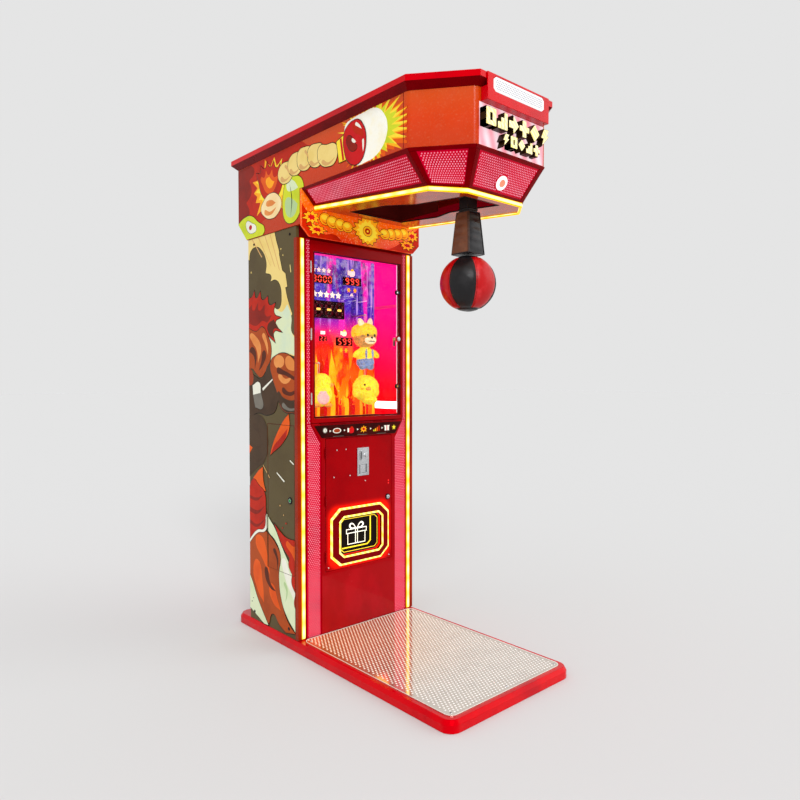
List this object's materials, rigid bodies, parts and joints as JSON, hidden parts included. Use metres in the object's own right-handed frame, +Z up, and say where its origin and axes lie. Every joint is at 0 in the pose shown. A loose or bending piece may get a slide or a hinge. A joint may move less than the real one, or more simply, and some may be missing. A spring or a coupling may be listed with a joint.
{
  "type": "boxing punch machine",
  "caption": "Free-standing arcade boxing machine with a tread plate, glazed prize cabinet and a padded ball on a swinging arm under an overhanging head.",
  "frame": {"origin": "middle of the footprint, on the floor", "axes": "+Z up; -Y towards the player; +X to the player's right"},
  "size_m": [0.752, 1.5, 2.3],
  "materials": {
    "red_gloss": "gloss",
    "red_paint": "gloss",
    "red_board": "painted gloss",
    "dark_red": "gloss",
    "dark_red_metal": "gloss",
    "orange_print": "printed film, satin",
    "orange_shell": "printed film, satin",
    "side_print": "printed film, satin",
    "grille_pink": "perforated, lit from behind",
    "warm_light": "diffuser, warm",
    "white_light": "diffuser, white",
    "steel": "satin",
    "zinc_sheet": "satin",
    "tread_metal": "patterned",
    "window_glass": "clear",
    "black_plastic": "satin",
    "ball_leather": "satin",
    "sleeve_leather": "satin",
    "circuit_board": "satin",
    "showcase_print": "printed",
    "yellow_plush": "pile",
    "brown_plush": "pile"
  },
  "bodies": {
    "cabinet": {"base_platform": "red_paint", "tread_plate": "tread_metal", "side_panel_left": "side_print", "side_panel_right": "side_print", "rear_panel": "red_board", "front_frame": "dark_red_metal", "front_bezel": "dark_red", "column_light_left": "warm_light", "column_light_right": "warm_light", "column_grille_left": "grille_pink", "column_grille_right": "grille_pink", "instruction_panel": "black_plastic", "prize_chute": "zinc_sheet", "showcase_liner": "showcase_print", "score_display": "black_plastic", "plush_bear": "brown_plush", "plush_chick_lower": "yellow_plush", "plush_chick_left": "yellow_plush", "control_board": "circuit_board", "roof_rim": "red_gloss", "head_side_left": "orange_print", "head_side_right": "orange_print", "head_front_shell": "orange_shell", "head_rear_cover": "orange_print", "head_grille_left": "grille_pink", "head_grille_right": "grille_pink", "head_grille_front": "grille_pink", "head_light_strip": "warm_light", "underside_plate": "dark_red_metal", "recess_liner": "dark_red", "fascia": "orange_print", "marquee_housing": "red_paint", "marquee_lens": "white_light", "sign": "white_light", "start_button_bezel": "white_light", "arm_bracket": "zinc_sheet"},
    "arm": {"pivot_shaft": "steel", "arm_tube": "dark_red_metal", "arm_sleeve": "sleeve_leather", "punch_ball": "ball_leather"},
    "pawl": {"latch_pawl": "steel"},
    "plunger": {"latch_plunger": "steel"},
    "window_door": {"window_frame": "dark_red_metal", "window_glass": "window_glass"},
    "window_lock": {"window_lock": "steel"},
    "lower_door": {"coin_door": "dark_red_metal", "coin_plate": "steel", "coin_mechanism": "black_plastic", "prize_bezel": "dark_red", "prize_light_ring": "warm_light"},
    "lower_door_lock": {"coin_door_lock": "steel"},
    "reject_button": {"coin_reject_button": "steel"},
    "return_flap": {"coin_return_flap": "steel"},
    "prize_flap": {"prize_flap": "black_plastic"},
    "service_door": {"side_service_door": "side_print"},
    "service_lock": {"side_door_lock": "steel"},
    "start_button": {"start_button": "orange_shell"},
    "peg_upper": {"prize_peg_upper": "steel"},
    "peg_left": {"prize_peg_left": "steel"},
    "power_rocker": {"power_switch": "black_plastic"}
  },
  "joints": [
    {"name": "arm_swing", "type": "hinge", "parent": "cabinet", "child": "arm", "pos_m": [0, -0.495, 2.055], "axis": [1, 0, 0], "range_deg": [-8, 92]},
    {"name": "latch_turn", "type": "hinge", "parent": "cabinet", "child": "pawl", "pos_m": [0.1025, -0.4505, 2.115], "axis": [-1, 0, 0], "range_deg": [0, 3]},
    {"name": "plunger_slide", "type": "slide", "parent": "cabinet", "child": "plunger", "axis": [0, -1, 0], "range_m": [0, 0.0016]},
    {"name": "window_door_swing", "type": "hinge", "parent": "cabinet", "child": "window_door", "pos_m": [-0.28, 0.192, 1.024], "axis": [0, 0, -1], "range_deg": [0, 115]},
    {"name": "window_lock_turn", "type": "hinge", "parent": "window_door", "child": "window_lock", "pos_m": [0.244, 0.2045, 1.424], "axis": [0, -1, 0], "range_deg": [0, 90]},
    {"name": "lower_door_swing", "type": "hinge", "parent": "cabinet", "child": "lower_door", "pos_m": [-0.2035, 0.194, 0.3355], "axis": [0, 0, -1], "range_deg": [0, 110]},
    {"name": "lower_door_lock_turn", "type": "hinge", "parent": "lower_door", "child": "lower_door_lock", "pos_m": [0.174, 0.21, 0.642], "axis": [0, -1, 0], "range_deg": [0, 90]},
    {"name": "reject_button_press", "type": "slide", "parent": "lower_door", "child": "reject_button", "axis": [0, 1, 0], "range_m": [0, 0.004], "stiffness_N_per_m": 400, "springref_m": -0.001},
    {"name": "return_flap_swing", "type": "hinge", "parent": "lower_door", "child": "return_flap", "pos_m": [0.018, 0.19575, 0.814], "axis": [1, 0, 0], "range_deg": [0, 50]},
    {"name": "prize_flap_swing", "type": "hinge", "parent": "lower_door", "child": "prize_flap", "pos_m": [0, 0.2045, 0.5705], "axis": [1, 0, 0], "range_deg": [0, 70]},
    {"name": "service_door_swing", "type": "hinge", "parent": "cabinet", "child": "service_door", "pos_m": [-0.35, 0.4615, 0.335], "axis": [0, 0, -1], "range_deg": [0, 110]},
    {"name": "service_lock_turn", "type": "hinge", "parent": "service_door", "child": "service_lock", "pos_m": [-0.346, 0.268, 0.673], "axis": [-1, 0, 0], "range_deg": [0, 90]},
    {"name": "start_button_press", "type": "slide", "parent": "cabinet", "child": "start_button", "axis": [0, 0.863, 0.5052], "range_m": [0, 0.004], "stiffness_N_per_m": 500, "springref_m": -0.001},
    {"name": "peg_upper_draw", "type": "slide", "parent": "cabinet", "child": "peg_upper", "axis": [0, 1, 0], "range_m": [0, 0.06]},
    {"name": "peg_left_draw", "type": "slide", "parent": "cabinet", "child": "peg_left", "axis": [0, 1, 0], "range_m": [0, 0.06]},
    {"name": "power_switch_rock", "type": "hinge", "parent": "cabinet", "child": "power_rocker", "pos_m": [0.2, 0.632, 0.13], "axis": [1, 0, 0], "range_deg": [0, 12]}
  ],
  "couplings": [
    {"joint": "plunger_slide", "follows": "latch_turn", "m_per_rad": 0.03}
  ]
}
